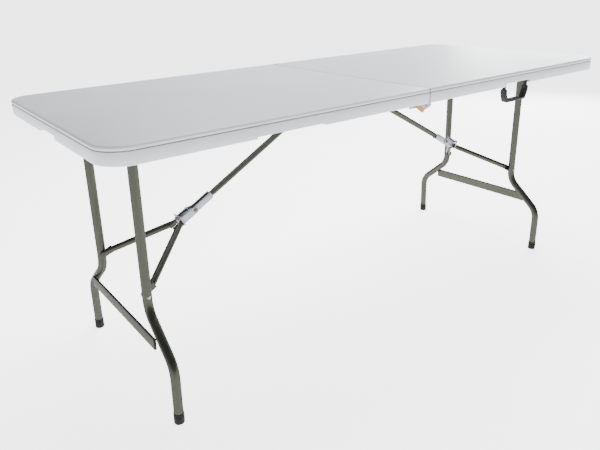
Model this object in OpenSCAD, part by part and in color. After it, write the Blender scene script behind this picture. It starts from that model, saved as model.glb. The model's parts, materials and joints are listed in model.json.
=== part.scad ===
// Bi-fold table: two blow-moulded top halves joined by a centre hinge, a wishbone leg frame
// under each end, and a folding Y brace that props each leg frame open.
// Origin: floor level, under the middle of the top. +X runs along the table, +Z is up.

/* [Top] */
// Overall length of the open table
table_l = 1800; // [1780:5:1860]
// Overall width of the table
table_w = 750; // [740:5:800]
// Height of the top surface above the floor
table_h = 750; // [735:5:780]
// Depth of the moulded skirt round the edge
skirt_d = 40; // [38:1:42]
// Width of the moulded skirt, seen from below
skirt_t = 22; // [18:1:24]
// Thickness of the double-walled slab
slab_t = 19; // [18:0.5:20]
// Radius of the four outer corners in plan
corner_r = 68; // [60:5:90]
// Wall of the blow moulding
mould_t = 2.5; // [2:0.5:3]

/* [Finger recesses] */
// Half width of the recess in each end skirt
end_recess_w = 65; // [50:5:80]
// Height of the recess in each end skirt
end_recess_h = 12; // [6:1:14]
// Distance of the long side's finger recess from the seam
side_recess_x = 462; // [450:1:480]
// Half width of the long side's finger recess
side_recess_w = 98; // [80:2:110]
// Height of the long side's finger recess
side_recess_h = 5.5; // [3:0.5:8]

/* [Legs] */
// Outside diameter of the leg tube
leg_dia = 25; // [20:0.5:25]
// Wall of the leg tube
leg_wall = 1.2; // [1:0.1:2]
// Distance of the leg pivots from the seam
leg_pivot_x = 765; // [750:1:770]
// Outward lean of an open leg frame, in degrees
leg_lean = 1.9; // [1:0.1:2.5]
// Distance of each upper leg tube from the centre line
leg_in = 161; // [150:1:170]
// Distance of each foot from the centre line
leg_out = 287; // [275:1:288]
// Height at which the S-bend starts
bend_top = 300; // [280:5:310]
// Radius of the S-bend at the tube's centre line
bend_r = 70; // [50:5:75]
// Angle of the S-bend
bend_a = 50; // [45:1:60]
// Height of the lower crossbar
crossbar_h = 200; // [190:1:210]
// Depth of the flattened lower crossbar
crossbar_w = 34; // [20:1:36]
// Thickness of the flattened lower crossbar
crossbar_t = 7; // [5:0.5:8]
// Height of the rubber boot
boot_h = 30; // [22:1:34]

/* [Brace] */
// Distance along the leg from its pivot to the fork rivet
fork_drop = 408; // [400:1:412]
// Distance of the brace's top pivot from the seam
arm_pivot_x = 36; // [34:1:40]
// Outside diameter of the arm and fork tubes
brace_dia = 18; // [16:0.5:18]

/* [Handle] */
// Distance of the handle's middle from the seam
handle_x = 413; // [405:1:440]
// Half width of the notch that holds the handle
handle_notch_w = 64; // [64:1:70]

/* [Hidden] */
$fn = 64;

half_l = table_l / 2;
half_w = table_w / 2;
seam_gap = 0.4;                       // half of the gap between the two tops
under_z = table_h - slab_t;           // underside of the slab
skirt_z = table_h - skirt_d;          // bottom of the skirt
pivot_z = under_z - 15;               // height of the leg and arm pivots
hinge_z = skirt_z - 7;                // height of the centre hinge
groove_top = 9;                       // the shadow groove under the top's rounded edge
groove_h = 2;
groove_in = 2.5;
crown_h = 2;                          // the two steps that round the top edge over
crown_in = 3.5;
shoulder_h = 5;
shoulder_in = 1.2;
band_in = 0.3;                        // the band between the shoulder and the groove
lip_h = 2;                            // the rounded-in bottom lip of the skirt
lip_in = 1;
rib_w = 10;                           // the rib beside the seam
rib_h = 9;
rib_end = 14;
post_r = 9;                           // posts that cross the hollow of the slab
post_pitch = 150;
screw_boss_r = 7;
screw_r = 1.95;
screw_l = 12;
screw_head_r = 4.5;
screw_head_h = 2.5;
fit_gap = 0.05;                       // radial clearance of a running fit

// side rails
rail_in = half_w - 71;                // inner face of a rail's web
rail_t = 3;
rail_out = rail_in + rail_t;
rail_bottom = hinge_z + 1;
flange_w = 21;
flange_t = 2;
rail_seam_x = 8;
rail_end_x = half_l - skirt_t - 16;   // clears the inside of the rounded corner
screw_y = rail_out + 12;
screw_xs = [110, 270, 430, 590, 700, 820];

// centre hinge
leaf_t = 3;
leaf_gap = 0.3;
leaf_l = 66;
hinge_pin_r = 4;
hinge_head_r = 6;
hinge_eye_r = 8.5;
pad_l = 40;

// leg frame
leg_r = leg_dia / 2;
leg_pin_r = 6;
leg_rivet_r = 3;
rivet_head_r = 6.5;
rivet_head_h = 2.6;
top_tube_half = rail_in - 2;
bend_side = leg_out - leg_in;
bend_run = (bend_side - 2 * bend_r * (1 - cos(bend_a))) / sin(bend_a);
bend_drop = 2 * bend_r * sin(bend_a) + bend_run * cos(bend_a);
bend_bottom = bend_top - bend_drop;
boot_floor = 5;
boot_r = leg_r + 1.5;
crossbar_out = leg_r + crossbar_t / 2 - 1;
crossbar_half = leg_in + bend_side / 2 - 6;

// brace: the fork and the arm are straight in line when open, and fold flat on each other
arm_pin_r = 4;
arm_top_r = 8;
brace_r = brace_dia / 2;
brace_wall = 1.2;
fork_x = leg_pivot_x + fork_drop * sin(leg_lean);
fork_z = pivot_z - fork_drop * cos(leg_lean);
brace_l = norm([fork_x - arm_pivot_x, pivot_z - fork_z]);
folded_l = leg_pivot_x - fork_drop - arm_pivot_x;
fork_l = (brace_l - folded_l) / 2;
arm_l = (brace_l + folded_l) / 2;
brace_a = atan2(pivot_z - fork_z, fork_x - arm_pivot_x);
knee_x = fork_x - fork_l * cos(brace_a);
knee_z = fork_z + fork_l * sin(brace_a);

// knee: nested channels, all widths measured from the middle of the brace
channel_half = 9;
channel_wall = 2.2;
channel_r = 10;
channel_l = 66;
cheek_in = 9.4;
cheek_out = 11.9;
web_in = 12;
web_out = 14.5;
fork_channel_l = 58;
knee_pin_r = 3.5;
blade_out = 18;
blade_start = 46;
blade_end = 70;
blade_lap = 14;
fork_face = leg_in - leg_r - 0.3;     // inner side of the leg tube, less a small gap
tongue_t = 4;
lock_x = 52;
lock_t = 3;
lock_out = 22;
lock_low = -12;
lock_h = 34;

// coil spring along the top of the fork channel, swept as a six-sided wire
spring_turns = 8;
spring_steps = 12;
spring_sides = 6;
spring_r = 2.6;
spring_wire = 0.55;
spring_x0 = -lock_x + lock_t + 0.8;
spring_x1 = -17.4;
spring_z = web_out + 3.4;

// latch
latch_y = 351;
latch_t = 3;
latch_pivot = [19, hinge_z - 3];
catch_at = [-30, hinge_z + 6];
latch_pin_r = 3;
catch_r = 2.6;
bracket_y = latch_y - latch_t - 3.6;
bracket_t = 3;
bracket_z = hinge_z - 6;
pocket_l = 45;
pocket_w = 6.5;
pocket_h = 13.8;
foot_l = 14;
foot_t = 2.5;
grip_r = 6;
grip_l = 24;
grip_slope = 34;
grip_skin = [1.7, 0.3];               // grip thickness before and behind the lever

// handle
handle_y = half_w - 11;
handle_notch_h = 10;
handle_z = skirt_z + 4;
handle_pin_r = 3;
handle_eye_r = 5;

steel = [0.45, 0.45, 0.40];
zinc = [0.78, 0.79, 0.80];
mould = [0.92, 0.93, 0.94];
black = [0.08, 0.08, 0.09];

// ---------- helpers ----------

// A bar along Y, centred on y = 0, at the given X and Z
module cross_bar(x, z, r, half) {
    translate([x, half, z]) rotate([90, 0, 0]) cylinder(r = r, h = 2 * half);
}

// Extrude an outline drawn in X and Z from y0 to y1
module side_plate(y0, y1) {
    translate([0, y1, 0]) rotate([90, 0, 0]) linear_extrude(y1 - y0) children();
}

module front_and_back() {
    children();
    mirror([0, 1, 0]) children();
}

module to_right() {
    mirror([1, 0, 0]) children();
}

module ring(r, wall) {
    difference() {
        circle(r);
        circle(r - wall);
    }
}

// ---------- the moulded tops ----------

// Plan of the left half, drawn a distance inside its edge
module half_outline(inset) {
    r = corner_r - inset;
    cx = half_l - corner_r;
    cy = half_w - corner_r;
    translate([-cx, -half_w + inset]) square([cx - seam_gap, table_w - 2 * inset]);
    translate([-half_l + inset, -cy]) square([half_l - inset - seam_gap, 2 * cy]);
    for (s = [-1, 1]) translate([-cx, s * cy]) circle(r, $fn = 96);
}

module slab_layer(inset, z0, z1) {
    translate([0, 0, z0]) linear_extrude(z1 - z0) half_outline(inset);
}

module recess_box(cx, cy, hx, hy, h) {
    translate([cx - hx, cy - hy, skirt_z - 1]) cube([2 * hx, 2 * hy, h + 1]);
}

// One half of the top without its recesses
module half_shell() {
    difference() {
        union() {
            slab_layer(crown_in, table_h - crown_h, table_h);
            slab_layer(shoulder_in, table_h - shoulder_h, table_h - crown_h);
            slab_layer(band_in, table_h - groove_top, table_h - shoulder_h);
            slab_layer(groove_in, table_h - groove_top - groove_h, table_h - groove_top);
            slab_layer(0, skirt_z + lip_h, table_h - groove_top - groove_h);
            slab_layer(lip_in, skirt_z, skirt_z + lip_h);
        }
        // the open space inside the skirt
        difference() {
            translate([0, 0, skirt_z - 1]) linear_extrude(under_z - skirt_z + 1) {
                half_outline(skirt_t);
                translate([-100, skirt_t - half_w]) square([101, table_w - 2 * skirt_t]);
            }
            // a low rib stiffens the seam between the rails
            translate([-rib_w, -rail_in + rib_end, under_z - rib_h])
                cube([rib_w - seam_gap, 2 * (rail_in - rib_end), rib_h + 1]);
        }
        // the hollow of the moulding, crossed by posts
        translate([0, 0, under_z + mould_t]) linear_extrude(slab_t - 2 * mould_t - 1.5) difference() {
            intersection() {
                half_outline(8);
                translate([-half_l, -half_w]) square([half_l - 8, table_w]);
            }
            for (i = [0.5 : 5.5], j = [-1.5 : 1.5]) translate([-i, j] * post_pitch) circle(post_r);
            for (x = screw_xs, s = [-1, 1]) translate([-x, s * screw_y]) circle(screw_boss_r);
            // solid round the latch hook's pocket
            translate([-pocket_l - 4, -latch_y - 6]) square([pocket_l + 4, 16]);
        }
        for (x = screw_xs, s = [-1, 1]) {
            translate([-x, s * screw_y, under_z - 1])
                cylinder(r = screw_r + fit_gap, h = screw_l, $fn = 24);
        }
        recess_box(-half_l, 0, skirt_t + 1, end_recess_w, end_recess_h);
    }
}

module left_panel() {
    color(mould) difference() {
        half_shell();
        recess_box(-side_recess_x, -half_w, side_recess_w, skirt_t + 1, side_recess_h);
        // the latch hook swings up through this pocket as the table folds
        translate([-pocket_l, -latch_y - 2, under_z - 1]) cube([pocket_l, pocket_w, pocket_h + 1]);
    }
}

module right_panel() {
    color(mould) difference() {
        to_right() half_shell();
        recess_box(handle_x, -half_w, handle_notch_w, skirt_t + 1, handle_notch_h);
        for (s = [-1, 1]) {
            translate([handle_x + s * (handle_notch_w + 4), -handle_y, handle_z])
                rotate([0, 90, 0]) cylinder(r = handle_pin_r, h = 10, center = true, $fn = 32);
        }
    }
}

// ---------- rails, screws and hinge ----------

module back_rail_left() {
    color(steel) difference() {
        union() {
            translate([-rail_end_x, rail_in, rail_bottom])
                cube([rail_end_x - rail_seam_x, rail_t, under_z - rail_bottom]);
            translate([-rail_end_x, rail_in, under_z - flange_t])
                cube([rail_end_x - rail_seam_x, flange_w + rail_t, flange_t]);
        }
        cross_bar(-leg_pivot_x, pivot_z, leg_pin_r + fit_gap, half_w);
        cross_bar(-arm_pivot_x, pivot_z, arm_pin_r + fit_gap, half_w);
        for (x = screw_xs) {
            translate([-x, screw_y, under_z - 3]) cylinder(r = 2.3, h = 4, $fn = 24);
        }
    }
}

module left_back_rail() { back_rail_left(); }
module left_front_rail() { mirror([0, 1, 0]) back_rail_left(); }
module right_back_rail() { to_right() back_rail_left(); }
module right_front_rail() { to_right() mirror([0, 1, 0]) back_rail_left(); }

module left_rail_screws() {
    color(zinc) for (x = screw_xs, s = [-1, 1]) {
        translate([-x, s * screw_y, under_z - flange_t - screw_head_h]) {
            cylinder(r = screw_head_r, h = screw_head_h, $fn = 32);
            cylinder(r = screw_r, h = screw_l, $fn = 24);
        }
    }
}
module right_rail_screws() { to_right() left_rail_screws(); }

module hinge_eye() {
    translate([0, hinge_z]) circle(r = hinge_eye_r);
}

module leaf_outline() {
    difference() {
        union() {
            hinge_eye();
            polygon([
                [-leaf_l, under_z - 4], [-6, under_z - 4], [6, hinge_z + 6], [-4, hinge_z - 7.5],
                [-18, hinge_z + 4], [-leaf_l, hinge_z + 6]
            ]);
        }
        translate([0, hinge_z]) circle(r = hinge_pin_r + fit_gap);
    }
}

module left_hinge_leaves() {
    color(zinc) front_and_back() side_plate(rail_out, rail_out + leaf_t) leaf_outline();
}

module right_hinge_leaves() {
    color(zinc) to_right() front_and_back() {
        side_plate(rail_out + leaf_t + leaf_gap, rail_out + 2 * leaf_t + leaf_gap) leaf_outline();
        // a pad packs the outer leaf off its rail
        translate([-leaf_l, rail_out, hinge_z + 8])
            cube([pad_l, leaf_t + leaf_gap + 0.1, under_z - hinge_z - 12]);
    }
}

// A length of the hinge pin that ends at a distance from the middle of the table
module hinge_bar(y_end, r, h) {
    translate([0, y_end, hinge_z]) rotate([90, 0, 0]) cylinder(r = r, h = h);
}

module hinge_pins() {
    color(zinc) front_and_back() {
        hinge_bar(rail_out + 6.5, hinge_pin_r, 7);
        hinge_bar(rail_out - 0.1, hinge_head_r, 2.6);
        hinge_bar(rail_out + 9, hinge_head_r, 2.6);
    }
}

// ---------- centre latch ----------

// Stands behind the lever, hung from the slab by a foot
module latch_bracket(x0, x1) {
    translate([x0, -bracket_y - bracket_t, bracket_z]) cube([x1 - x0, bracket_t, under_z - bracket_z]);
    translate([x0, -bracket_y - bracket_t, under_z - foot_t]) cube([x1 - x0, foot_l, foot_t]);
}

// A pin along Y through the latch's layer
module latch_pin(at, r, h) {
    translate([at[0], -bracket_y - bracket_t, at[1]]) rotate([90, 0, 0])
        cylinder(r = r, h = h, $fn = 48);
}

module latch_catch() {
    color(zinc) {
        latch_bracket(-48, -18);
        latch_pin(catch_at, catch_r, 5.2);
    }
}

module latch_mount() {
    color(zinc) {
        latch_bracket(8, 38);
        latch_pin(latch_pivot, latch_pin_r, 4);
        translate([0, -3.7, 0]) latch_pin(latch_pivot, 5, 1.6);
    }
}

module lever_outline() {
    polygon([
        [-38, hinge_z + 3], [-38, hinge_z + 10], [-35.5, hinge_z + 12.5], [-9.5, hinge_z + 13.5],
        [10, hinge_z + 9], [27, hinge_z + 4], [37, hinge_z - 3], [31, hinge_z - 9],
        [17, hinge_z - 14], [6, hinge_z - 17], [-17, hinge_z - 4.5], [-26.4, hinge_z + 3],
        [-26.4, hinge_z + 9.4], [-35, hinge_z + 9.4], [-35, hinge_z + 3]
    ]);
}

module latch_lever() {
    color(zinc) side_plate(-latch_y, -latch_y + latch_t) difference() {
        lever_outline();
        translate(latch_pivot) circle(r = latch_pin_r + fit_gap);
    }
}

module latch_grip() {
    color([0.98, 0.66, 0.05]) difference() {
        translate([-20, 0, hinge_z - 2.5]) rotate([0, grip_slope, 0])
            side_plate(-latch_y - grip_skin[0], -latch_y + latch_t + grip_skin[1]) {
                circle(r = grip_r, $fn = 48);
                translate([0, -grip_r]) square([grip_l, 2 * grip_r]);
                translate([grip_l, 0]) circle(r = grip_r, $fn = 48);
            }
        side_plate(-latch_y - fit_gap, -latch_y + latch_t + fit_gap) lever_outline();
        latch_pin(latch_pivot, 7, 12);
    }
}

// ---------- carrying handle ----------

// Outer half of the handle's outline; x from the middle, z from its pivot
function strap_outer() = [[59, 5], [60, -7], [61, -17], [59, -30], [52, -48], [46, -54]];
function strap_inner() = [[51, 5], [52, -7], [52, -16], [50, -28], [44, -42], [40, -45]];
function flipped(pts) = [for (i = [len(pts) - 1 : -1 : 0]) [-pts[i][0], pts[i][1]]];
function backward(pts) = [for (i = [len(pts) - 1 : -1 : 0]) pts[i]];

module strap_outline() {
    polygon(concat(
        strap_outer(), flipped(strap_outer()),
        backward(flipped(strap_inner())), backward(strap_inner())
    ));
}

// The strap is narrow at its pivots, so that it clears the skirt when it swings out
module strap_side() {
    circle(r = handle_eye_r);
    polygon([[-5, 0], [-5, -9], [-10, -18], [-10, -54], [10, -54], [10, -18], [5, -9], [5, 0]]);
}

module carry_handle() {
    color(black) translate([handle_x, -handle_y, handle_z]) difference() {
        intersection() {
            side_plate(-11, 11) strap_outline();
            translate([-80, 0, 0]) rotate([90, 0, 90]) linear_extrude(160) strap_side();
        }
        rotate([0, 90, 0]) cylinder(r = handle_pin_r + fit_gap, h = 160, center = true, $fn = 48);
    }
}

module handle_pins() {
    color(zinc) for (s = [-1, 1]) {
        translate([handle_x + s * (handle_notch_w - 4), -handle_y, handle_z])
            rotate([0, 90, 0]) cylinder(r = handle_pin_r, h = 16, center = true, $fn = 48);
    }
}

// ---------- leg frames ----------

// Turn an upright frame about the left leg pivot to its open lean
module leaned() {
    translate([-leg_pivot_x, 0, pivot_z]) rotate([0, leg_lean, 0])
        translate([leg_pivot_x, 0, -pivot_z]) children();
}

// Straight, bend, straight, bend, straight: drawn with any cross-section
module leg_path() {
    a = bend_a;
    translate([-leg_pivot_x, 0, 0]) {
        translate([0, leg_in, bend_top]) linear_extrude(pivot_z - bend_top) children();
        translate([0, leg_in + bend_r, bend_top]) rotate([90, 0, 90]) rotate([0, 0, 180])
            rotate_extrude(angle = a, $fn = 96) translate([bend_r, 0]) children();
        translate([0, leg_in + bend_r * (1 - cos(a)), bend_top - bend_r * sin(a)])
            rotate([180 + a, 0, 0]) linear_extrude(bend_run) children();
        translate([0, leg_out - bend_r, bend_bottom]) rotate([90, 0, 90])
            rotate_extrude(angle = a, $fn = 96) translate([bend_r, 0]) children();
        translate([0, leg_out, boot_floor]) linear_extrude(bend_bottom - boot_floor) children();
    }
}

module back_leg_tube() {
    color(steel) leaned() difference() {
        leg_path() ring(leg_r, leg_wall);
        cross_bar(-leg_pivot_x, pivot_z, leg_r, half_w);
        translate([-leg_pivot_x, 0, pivot_z - fork_drop]) rotate([90, 0, 0]) translate([0, 0, -half_w])
            cylinder(r = leg_rivet_r, h = half_w, $fn = 32);
    }
}

module top_tube_left() {
    color(steel) difference() {
        union() {
            cross_bar(-leg_pivot_x, pivot_z, leg_r, top_tube_half);
            cross_bar(-leg_pivot_x, pivot_z, leg_pin_r, rail_out);
        }
        cross_bar(-leg_pivot_x, pivot_z, leg_pin_r - leg_wall - 1, rail_out + 1);
    }
}

// A tube pressed flat: its depth lies along the legs
module flat_bar(w, t, half) {
    translate([-leg_pivot_x - crossbar_out, 0, crossbar_h]) side_plate(-half, half) {
        square([t, w - t], center = true);
        for (s = [-1, 1]) translate([0, s * (w - t) / 2]) circle(r = t / 2, $fn = 32);
    }
}

module crossbar_left() {
    color(steel) leaned() difference() {
        flat_bar(crossbar_w, crossbar_t, crossbar_half);
        flat_bar(crossbar_w - 2 * leg_wall, crossbar_t - 2 * leg_wall, crossbar_half - 4);
        front_and_back() leg_path() circle(leg_r);
    }
}

module back_boot_left() {
    color(black) difference() {
        leaned() translate([-leg_pivot_x, leg_out, -2]) cylinder(r = boot_r, h = boot_h + 2);
        leaned() translate([-leg_pivot_x, leg_out, boot_floor]) cylinder(r = leg_r, h = boot_h);
        translate([-leg_pivot_x - 60, 0, -10]) cube([60, half_w, 10]);
    }
}

// The rivet's plain head outside the leg, and its shank inside the tube
module leg_rivets_left() {
    color(zinc) leaned() front_and_back() translate([-leg_pivot_x, 0, pivot_z - fork_drop]) {
        translate([0, leg_in + leg_r + 1.5, 0]) rotate([90, 0, 0])
            cylinder(r = leg_rivet_r, h = 2 * leg_r + 1.5, $fn = 32);
        translate([0, leg_in + leg_r + rivet_head_h, 0]) rotate([90, 0, 0])
            cylinder(r = rivet_head_r, h = rivet_head_h, $fn = 48);
    }
}

module left_leg_top_tube() { top_tube_left(); }
module left_leg_back_tube() { back_leg_tube(); }
module left_leg_front_tube() { mirror([0, 1, 0]) back_leg_tube(); }
module left_leg_crossbar() { crossbar_left(); }
module left_leg_back_boot() { back_boot_left(); }
module left_leg_front_boot() { mirror([0, 1, 0]) back_boot_left(); }
module left_leg_rivets() { leg_rivets_left(); }
module right_leg_top_tube() { to_right() left_leg_top_tube(); }
module right_leg_back_tube() { to_right() left_leg_back_tube(); }
module right_leg_front_tube() { to_right() left_leg_front_tube(); }
module right_leg_crossbar() { to_right() left_leg_crossbar(); }
module right_leg_back_boot() { to_right() left_leg_back_boot(); }
module right_leg_front_boot() { to_right() left_leg_front_boot(); }
module right_leg_rivets() { to_right() left_leg_rivets(); }

// ---------- braces ----------

// The brace's own frame: origin at the knee, X up towards the seam, Z its upper side
module at_knee() {
    translate([-knee_x, 0, knee_z]) rotate([0, -brace_a, 0]) children();
}

module arm_tube_left() {
    color(steel) at_knee() difference() {
        union() {
            translate([channel_l, 0, 0]) rotate([0, 90, 0]) linear_extrude(arm_l - channel_l)
                ring(brace_r, brace_wall);
            // the flattened, pointed end that lies in the channel
            side_plate(-channel_half + channel_wall, channel_half - channel_wall) polygon([
                [channel_l - 32, 1], [channel_l - 12, 7.5], [channel_l + 8, 7.5],
                [channel_l + 8, -7.5], [channel_l - 18, -7.5]
            ]);
        }
        cross_bar(arm_l, 0, arm_top_r, half_w);
    }
}

module arm_top_tube_left() {
    color(steel) difference() {
        union() {
            cross_bar(-arm_pivot_x, pivot_z, arm_top_r, top_tube_half);
            cross_bar(-arm_pivot_x, pivot_z, arm_pin_r, rail_out);
        }
        cross_bar(-arm_pivot_x, pivot_z, arm_pin_r - 1.5, rail_out + 1);
    }
}

// An open-topped channel with a rounded nose round the knee rivet
module arm_channel_left() {
    color(zinc) at_knee() difference() {
        side_plate(-channel_half, channel_half) {
            circle(r = channel_r);
            translate([0, -channel_r]) square([channel_l, 2 * channel_r]);
        }
        translate([-channel_r - 1, -channel_half + channel_wall, -channel_r + channel_wall])
            cube([channel_l + channel_r + 2, 2 * (channel_half - channel_wall), 2 * channel_r]);
        cross_bar(0, 0, knee_pin_r, half_w);
    }
}

module knee_rivet_left() {
    color(zinc) at_knee() {
        cross_bar(0, 0, knee_pin_r, cheek_out + 1);
        front_and_back() translate([0, cheek_out + 2.7, 0]) rotate([90, 0, 0])
            cylinder(r = rivet_head_r, h = 2.5);
    }
}

module fork_channel_left() {
    color(zinc) at_knee() {
        front_and_back() side_plate(cheek_in, cheek_out) difference() {
            union() {
                circle(r = channel_r);
                polygon([
                    [-fork_channel_l, -channel_r], [0, -channel_r], [0, channel_r],
                    [-12, web_out], [-fork_channel_l, web_out]
                ]);
            }
            circle(r = knee_pin_r + fit_gap);
        }
        translate([-fork_channel_l, -cheek_out, web_in])
            cube([fork_channel_l - 14, 2 * cheek_out, web_out - web_in]);
        // the tab that the spring pushes on
        translate([-16.5, -5, web_out - 1]) cube([2.5, 10, 8]);
    }
}

// A flat blade along the channel, a round tube out to the leg, and a flat tongue on its side
module fork_tube_left() {
    far_x = fork_l - 26;
    far_y = fork_face - brace_r - 0.5;
    run_x = far_x - blade_end + 2;
    run_y = far_y - 21;
    color(steel) at_knee() {
        side_plate(cheek_out, blade_out) translate([-blade_end - blade_lap, -channel_r + 2])
            square([blade_end + blade_lap - blade_start, 2 * channel_r - 4]);
        translate([-blade_end + 2, 21, 0]) rotate([0, 0, atan2(run_y, -run_x)]) rotate([0, 90, 0])
            linear_extrude(norm([run_x, run_y])) ring(brace_r, brace_wall);
        side_plate(fork_face - tongue_t, fork_face) {
            translate([-fork_l, 0]) circle(r = brace_r + 1);
            translate([-fork_l, -brace_r]) square([34, 2 * brace_r]);
        }
    }
}

module fork_rivets_left() {
    color(zinc) at_knee() front_and_back() translate([-fork_l, fork_face - tongue_t, 0])
        rotate([90, 0, 0]) cylinder(r = rivet_head_r, h = rivet_head_h, $fn = 48);
}

// A plate that straddles the fork channel and slides along it
module lock_plate_left() {
    color(zinc) at_knee() translate([-lock_x, 0, 0]) rotate([90, 0, 90]) linear_extrude(lock_t) {
        difference() {
            translate([-lock_out, lock_low]) square([2 * lock_out, lock_h]);
            translate([-blade_out - leaf_gap, lock_low - 1])
                square([2 * (blade_out + leaf_gap), web_out + leaf_gap + 1 - lock_low]);
        }
    }
}

// A point on the skin of the coil's wire: ring i along it, corner j round it
function coil_point(i, j) = let (
    t = 360 * i / spring_steps,
    s = 360 * j / spring_sides,
    x = spring_x0 + (spring_x1 - spring_x0) * i / (spring_turns * spring_steps),
    r = spring_r + spring_wire * cos(s)
) [x + spring_wire * sin(s), r * cos(t), spring_z + r * sin(t)];

module coil() {
    rings = spring_turns * spring_steps;
    n = spring_sides;
    pts = [for (i = [0 : rings], j = [0 : n - 1]) coil_point(i, j)];
    walls = [for (i = [0 : rings - 1], j = [0 : n - 1])
        [i * n + j, i * n + (j + 1) % n, (i + 1) * n + (j + 1) % n, (i + 1) * n + j]];
    ends = [[for (j = [n - 1 : -1 : 0]) j], [for (j = [0 : n - 1]) rings * n + j]];
    polyhedron(points = pts, faces = concat(walls, ends), convexity = 10);
}

module lock_spring_left() {
    color(black) at_knee() coil();
}

module left_arm_tube() { arm_tube_left(); }
module left_arm_top_tube() { arm_top_tube_left(); }
module left_arm_channel() { arm_channel_left(); }
module left_knee_rivet() { knee_rivet_left(); }
module left_fork_back_tube() { fork_tube_left(); }
module left_fork_front_tube() { mirror([0, 1, 0]) fork_tube_left(); }
module left_fork_channel() { fork_channel_left(); }
module left_fork_rivets() { fork_rivets_left(); }
module left_lock_spring() { lock_spring_left(); }
module left_lock_plate() { lock_plate_left(); }
module right_arm_tube() { to_right() left_arm_tube(); }
module right_arm_top_tube() { to_right() left_arm_top_tube(); }
module right_arm_channel() { to_right() left_arm_channel(); }
module right_knee_rivet() { to_right() left_knee_rivet(); }
module right_fork_back_tube() { to_right() left_fork_back_tube(); }
module right_fork_front_tube() { to_right() left_fork_front_tube(); }
module right_fork_channel() { to_right() left_fork_channel(); }
module right_fork_rivets() { to_right() left_fork_rivets(); }
module right_lock_spring() { to_right() left_lock_spring(); }
module right_lock_plate() { to_right() left_lock_plate(); }

left_panel();
left_front_rail();
left_back_rail();
left_rail_screws();
left_hinge_leaves();
hinge_pins();
latch_catch();
right_panel();
right_front_rail();
right_back_rail();
right_rail_screws();
right_hinge_leaves();
latch_mount();
handle_pins();
latch_lever();
latch_grip();
carry_handle();
left_leg_top_tube();
left_leg_front_tube();
left_leg_back_tube();
left_leg_crossbar();
left_leg_front_boot();
left_leg_back_boot();
left_leg_rivets();
right_leg_top_tube();
right_leg_front_tube();
right_leg_back_tube();
right_leg_crossbar();
right_leg_front_boot();
right_leg_back_boot();
right_leg_rivets();
left_arm_tube();
left_arm_top_tube();
left_arm_channel();
left_knee_rivet();
right_arm_tube();
right_arm_top_tube();
right_arm_channel();
right_knee_rivet();
left_fork_front_tube();
left_fork_back_tube();
left_fork_channel();
left_fork_rivets();
left_lock_spring();
left_lock_plate();
right_fork_front_tube();
right_fork_back_tube();
right_fork_channel();
right_fork_rivets();
right_lock_spring();
right_lock_plate();
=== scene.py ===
"""A bi-fold table with a moulded top: its finished surfaces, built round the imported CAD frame."""

import json
import math

import bpy
from mathutils import Matrix, Vector


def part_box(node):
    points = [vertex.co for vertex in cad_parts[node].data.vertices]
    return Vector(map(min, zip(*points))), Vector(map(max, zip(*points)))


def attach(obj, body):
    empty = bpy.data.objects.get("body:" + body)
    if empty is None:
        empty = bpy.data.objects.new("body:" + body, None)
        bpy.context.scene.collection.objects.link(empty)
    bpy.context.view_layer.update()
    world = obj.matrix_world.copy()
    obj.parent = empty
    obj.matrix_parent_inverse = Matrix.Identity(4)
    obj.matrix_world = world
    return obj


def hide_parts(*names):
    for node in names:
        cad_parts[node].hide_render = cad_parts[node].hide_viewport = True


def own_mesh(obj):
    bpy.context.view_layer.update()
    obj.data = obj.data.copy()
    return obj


bl_info = {
    "name": "Bi-fold Table",
    "version": (1, 0, 0),
    "blender": (4, 5, 0),
    "location": "3D View > Sidebar > Table",
    "description": "Builds the moulded top, folding legs, braces, handle and latch of a bi-fold table",
    "category": "Object",
}

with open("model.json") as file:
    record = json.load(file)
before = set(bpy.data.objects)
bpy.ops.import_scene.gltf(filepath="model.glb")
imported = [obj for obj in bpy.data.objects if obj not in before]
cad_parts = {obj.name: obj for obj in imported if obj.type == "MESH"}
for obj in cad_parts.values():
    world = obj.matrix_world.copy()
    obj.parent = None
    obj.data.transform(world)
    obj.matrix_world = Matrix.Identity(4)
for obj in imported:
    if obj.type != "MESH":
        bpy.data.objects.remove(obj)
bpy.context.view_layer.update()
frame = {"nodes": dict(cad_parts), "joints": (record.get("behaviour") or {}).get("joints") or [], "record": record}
nodes = frame["nodes"]
joints = {joint["name"]: joint for joint in frame["joints"]}

MM = 0.001
SIDES = (("left", -1), ("right", 1))

# Sizes that the frame gives
top_low, top_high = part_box("right_panel")
HALF_L = top_high.x
HALF_W = top_high.y
TOP_Z = top_high.z
SKIRT_Z = top_low.z
leg_pivot = Vector(joints["right_leg_fold"]["pos_m"])
arm_pivot = Vector(joints["right_arm_turn"]["pos_m"])
knee = Vector(joints["right_knee_turn"]["pos_m"])
brace_slope = math.atan2(arm_pivot.z - knee.z, knee.x - arm_pivot.x)
arm_length = (arm_pivot - knee).length
leg_lean = math.radians(joints["right_leg_fold"]["range_deg"][1] - 90)
handle_pivot = Vector(joints["handle_swing"]["pos_m"])
latch_pivot = Vector(joints["latch_turn"]["pos_m"])


# ---------- modelling helpers ----------


def deselect():
    bpy.ops.object.select_all(action="DESELECT")


def only(obj):
    deselect()
    obj.select_set(True)
    bpy.context.view_layer.objects.active = obj


def rename(obj, name):
    """Name an object and its mesh, in lower case with underscores."""
    obj.name = obj.data.name = name.lower().replace(" ", "_")
    return obj


def named(name):
    return rename(bpy.context.object, name)


def into_edit(obj, mode="FACE"):
    only(obj)
    bpy.ops.object.mode_set(mode="EDIT")
    bpy.ops.mesh.select_mode(type=mode)


def out_of_edit():
    bpy.ops.object.mode_set(mode="OBJECT")


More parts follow.
